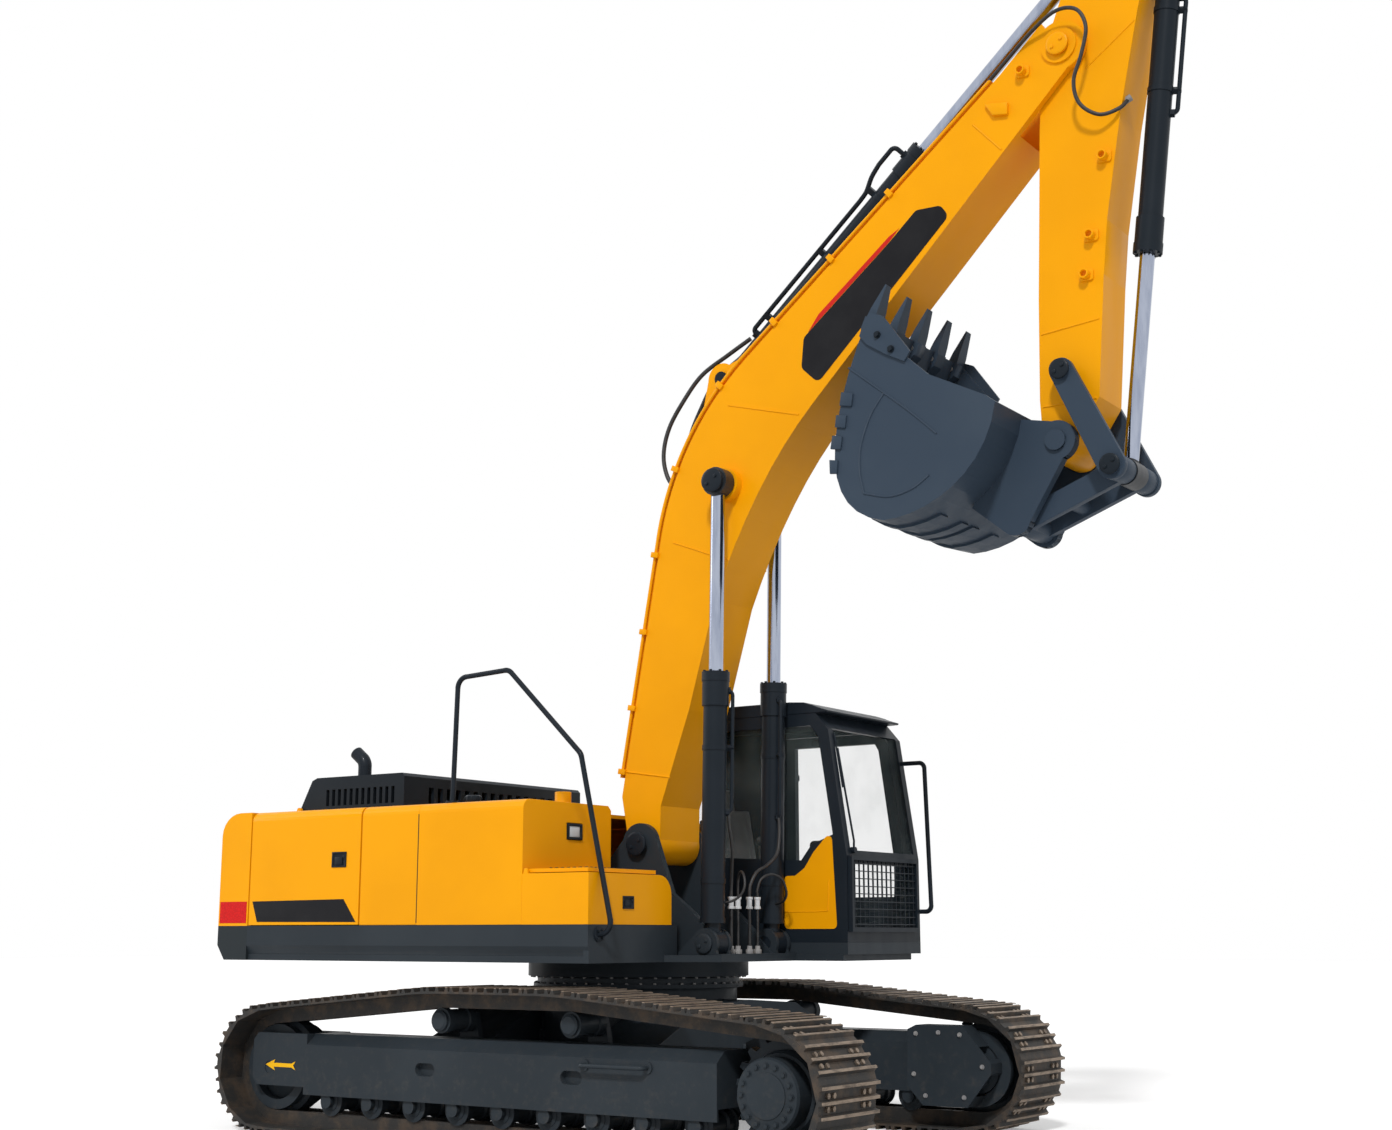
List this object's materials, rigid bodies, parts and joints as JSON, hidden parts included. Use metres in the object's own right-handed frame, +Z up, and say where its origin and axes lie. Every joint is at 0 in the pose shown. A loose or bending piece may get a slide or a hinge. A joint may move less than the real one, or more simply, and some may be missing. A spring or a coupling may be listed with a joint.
{
  "type": "crawler excavator",
  "caption": "Tracked hydraulic excavator with a slewing upper, glazed cab, raised boom, drawn-in stick and curled bucket, worked by cylinders.",
  "frame": {"origin": "middle of the footprint of the stowed machine, on the ground", "axes": "+X to the front of the upper, +Y to the cab's side, +Z up"},
  "size_m": [6.8498, 3.023, 7.294],
  "materials": {
    "iron": "worn steel",
    "slate_paint": "satin paint",
    "yellow_paint": "gloss paint",
    "black_paint": "satin paint",
    "chrome_rod": "polished",
    "window": "clear",
    "seat_cloth": "woven",
    "console_plastic": "grained"
  },
  "bodies": {
    "undercarriage": {"carbody": "slate_paint", "track_frames": "slate_paint", "track_left": "iron", "track_right": "iron", "idlers": "slate_paint", "track_rollers": "slate_paint", "carrier_rollers": "slate_paint", "sprockets": "slate_paint", "slew_ring": "slate_paint"},
    "upper": {"deck": "slate_paint", "counterweight": "yellow_paint", "engine": "black_paint", "right_panel": "yellow_paint", "left_panel": "yellow_paint", "fuel_tank": "yellow_paint", "tool_box": "yellow_paint", "top_deck": "yellow_paint", "handrails": "black_paint", "cab_floor": "slate_paint", "cab_shell": "black_paint", "cab_roof": "black_paint", "cab_glass": "window", "front_guard": "black_paint", "seat": "seat_cloth", "consoles": "console_plastic"},
    "hood": {"hood": "black_paint"},
    "pump_door": {"pump_door": "yellow_paint"},
    "radiator_door": {"radiator_door": "yellow_paint"},
    "left_door": {"left_door": "yellow_paint"},
    "tool_box_lid": {"tool_box_lid": "yellow_paint"},
    "cab_door": {"cab_door": "black_paint", "door_glass": "window"},
    "boom": {"boom": "yellow_paint", "boom_pipes": "yellow_paint"},
    "boom_barrels": {"boom_barrels": "black_paint"},
    "boom_rods": {"boom_rods": "chrome_rod"},
    "stick": {"stick": "yellow_paint"},
    "stick_barrel": {"stick_barrel": "black_paint"},
    "stick_rod": {"stick_rod": "chrome_rod"},
    "bucket_barrel": {"bucket_barrel": "black_paint"},
    "bucket_rod": {"bucket_rod": "chrome_rod"},
    "bucket_links": {"bucket_links": "black_paint"},
    "bucket": {"bucket": "slate_paint", "bucket_teeth": "slate_paint"},
    "bucket_yoke": {"bucket_yoke": "black_paint"}
  },
  "joints": [
    {"name": "swing", "type": "hinge", "parent": "undercarriage", "child": "upper", "pos_m": [-0.575, 0, 0.967], "axis": [0, 0, 1], "continuous": true},
    {"name": "boom_lift", "type": "hinge", "parent": "upper", "child": "boom", "pos_m": [-0.371, 0, 1.798], "axis": [0, -1, 0], "range_deg": [-80, 8]},
    {"name": "stick_crowd", "type": "hinge", "parent": "boom", "child": "stick", "pos_m": [2.685, 0, 6.47], "axis": [0, 1, 0], "range_deg": [-115, 0]},
    {"name": "bucket_curl", "type": "hinge", "parent": "stick", "child": "bucket", "pos_m": [2.571, 0, 4.033], "axis": [0, 1, 0], "range_deg": [-160, 0]},
    {"name": "hood_hinge", "type": "hinge", "parent": "upper", "child": "hood", "pos_m": [-2.771, 0, 2.062], "axis": [0, -1, 0], "range_deg": [0, 60]},
    {"name": "pump_door_hinge", "type": "hinge", "parent": "upper", "child": "pump_door", "pos_m": [-2.776, -1.335, 1.6], "axis": [0, 0, -1], "range_deg": [0, 100]},
    {"name": "radiator_door_hinge", "type": "hinge", "parent": "upper", "child": "radiator_door", "pos_m": [-2.776, 1.335, 1.6], "axis": [0, 0, 1], "range_deg": [0, 100]},
    {"name": "left_door_hinge", "type": "hinge", "parent": "upper", "child": "left_door", "pos_m": [-1.848, 1.335, 1.6], "axis": [0, 0, 1], "range_deg": [0, 100]},
    {"name": "tool_box_hinge", "type": "hinge", "parent": "upper", "child": "tool_box_lid", "pos_m": [-0.419, 0, 1.6005], "axis": [0, -1, 0], "range_deg": [0, 80]},
    {"name": "cab_door_hinge", "type": "hinge", "parent": "upper", "child": "cab_door", "pos_m": [-0.2775, 1.43, 1.9], "axis": [0, 0, 1], "range_deg": [0, 150]},
    {"name": "boom_barrel_turn", "type": "hinge", "parent": "upper", "child": "boom_barrels", "pos_m": [0.235, 0, 1.174], "axis": [0, -1, 0], "range_deg": [-90, 12]},
    {"name": "boom_rod_slide", "type": "slide", "parent": "boom_barrels", "child": "boom_rods", "axis": [0.0182, 0, 0.9998], "range_m": [-1.25, 0.15]},
    {"name": "stick_barrel_turn", "type": "hinge", "parent": "boom", "child": "stick_barrel", "pos_m": [0.175, 0, 4.845], "axis": [0, 1, 0], "range_deg": [-10, 10]},
    {"name": "stick_rod_slide", "type": "slide", "parent": "stick_barrel", "child": "stick_rod", "axis": [0.7556, 0, 0.6551], "range_m": [-1.4, 0.05]},
    {"name": "bucket_barrel_turn", "type": "hinge", "parent": "stick", "child": "bucket_barrel", "pos_m": [3.325, 0, 6.95], "axis": [0, 1, 0], "range_deg": [-10, 10]},
    {"name": "bucket_rod_slide", "type": "slide", "parent": "bucket_barrel", "child": "bucket_rod", "axis": [-0.1289, 0, -0.9917], "range_m": [-1.3, 0.05]},
    {"name": "bucket_links_turn", "type": "hinge", "parent": "stick", "child": "bucket_links", "pos_m": [2.636, 0, 4.434], "axis": [0, 1, 0], "range_deg": [-140, 5]},
    {"name": "bucket_yoke_turn", "type": "hinge", "parent": "bucket", "child": "bucket_yoke", "pos_m": [2.3, 0, 3.597], "axis": [0, 1, 0], "range_deg": [-5, 110]}
  ],
  "couplings": [
    {"joint": "boom_barrel_turn", "follows": "boom_lift", "ratio": 0.96267},
    {"joint": "boom_rod_slide", "follows": "boom_lift", "m_per_rad": 0.79633},
    {"joint": "stick_barrel_turn", "follows": "stick_crowd", "ratio": -0.008},
    {"joint": "stick_rod_slide", "follows": "stick_crowd", "m_per_rad": 0.62212},
    {"joint": "bucket_barrel_turn", "follows": "bucket_curl", "ratio": -0.01726},
    {"joint": "bucket_rod_slide", "follows": "bucket_curl", "m_per_rad": 0.42209},
    {"joint": "bucket_links_turn", "follows": "bucket_curl", "ratio": 0.77742},
    {"joint": "bucket_yoke_turn", "follows": "bucket_curl", "ratio": -0.56615}
  ]
}
